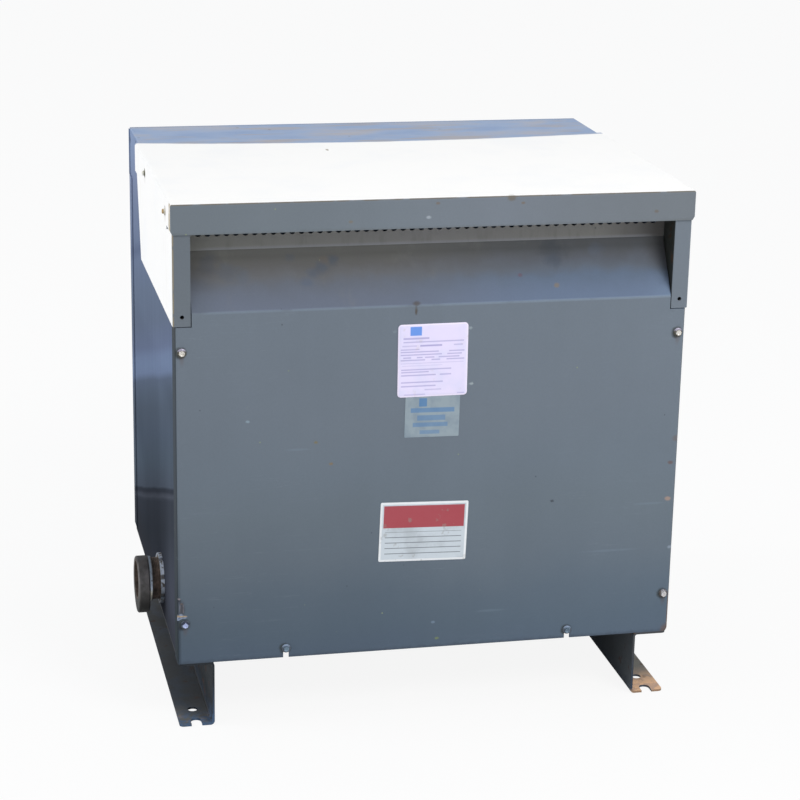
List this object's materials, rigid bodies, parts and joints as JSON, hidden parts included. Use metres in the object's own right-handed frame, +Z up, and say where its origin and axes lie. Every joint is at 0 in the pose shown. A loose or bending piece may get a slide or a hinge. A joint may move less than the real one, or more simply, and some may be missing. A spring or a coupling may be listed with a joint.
{
  "type": "power transformer",
  "caption": "Weathered ventilated dry-type power transformer in a folded sheet-steel enclosure with a weather hood, foot rails and a side conduit fitting.",
  "frame": {"origin": "bottom centre of the whole part's box, on the floor", "axes": "+X to the right seen from the front, +Y from the front cover to the rear cover, +Z up"},
  "size_m": [0.7508, 0.566, 0.745],
  "materials": {
    "front_enamel": "weathered semi-gloss grey enamel",
    "side_enamel": "dark blue-grey gloss enamel",
    "top_enamel": "pale blue-grey enamel with dust",
    "hood_enamel": "sun-bleached chalky pale enamel",
    "skirt_enamel": "sun-bleached pale enamel, grey on the front flange",
    "vent_enamel": "dull grey enamel with dust",
    "frame_enamel": "dark enamel with dust and rust",
    "rusty_steel": "rusted steel tube",
    "zinc": "dull zinc plating",
    "cast_fitting": "dull cast iron",
    "core_steel": "varnished laminated steel",
    "clamp_paint": "grey primer",
    "winding": "varnished winding insulation",
    "post_enamel": "dull grey enamel",
    "insulating_block": "tan laminated insulation",
    "rod_steel": "zinc-plated steel",
    "pad_rubber": "black rubber"
  },
  "bodies": {
    "root": {"foot_rail_left": "frame_enamel", "foot_rail_right": "frame_enamel", "base_angle_front": "frame_enamel", "base_angle_rear": "frame_enamel", "core_channel_front": "frame_enamel", "core_channel_rear": "frame_enamel", "side_panel_left": "side_enamel", "side_panel_right": "side_enamel", "post_front_left": "post_enamel", "post_front_right": "post_enamel", "post_rear_left": "post_enamel", "post_rear_right": "post_enamel", "front_cover": "front_enamel", "rear_cover": "front_enamel", "vent_header_front": "vent_enamel", "vent_header_rear": "vent_enamel", "top_panel": "top_enamel", "hood_lid": "hood_enamel", "hood_skirt_left": "skirt_enamel", "hood_skirt_right": "skirt_enamel", "conduit_nipple": "rusty_steel", "conduit_locknut_outer": "zinc", "conduit_locknut_inner": "zinc", "conduit_connector": "cast_fitting", "core": "core_steel", "core_clamp_lower_front": "clamp_paint", "core_clamp_lower_rear": "clamp_paint", "core_clamp_upper_front": "clamp_paint", "core_clamp_upper_rear": "clamp_paint", "coil_left": "winding", "coil_middle": "winding", "coil_right": "winding", "coil_blocks": "insulating_block", "tie_rods": "rod_steel", "isolation_pads": "pad_rubber"}
  },
  "joints": []
}
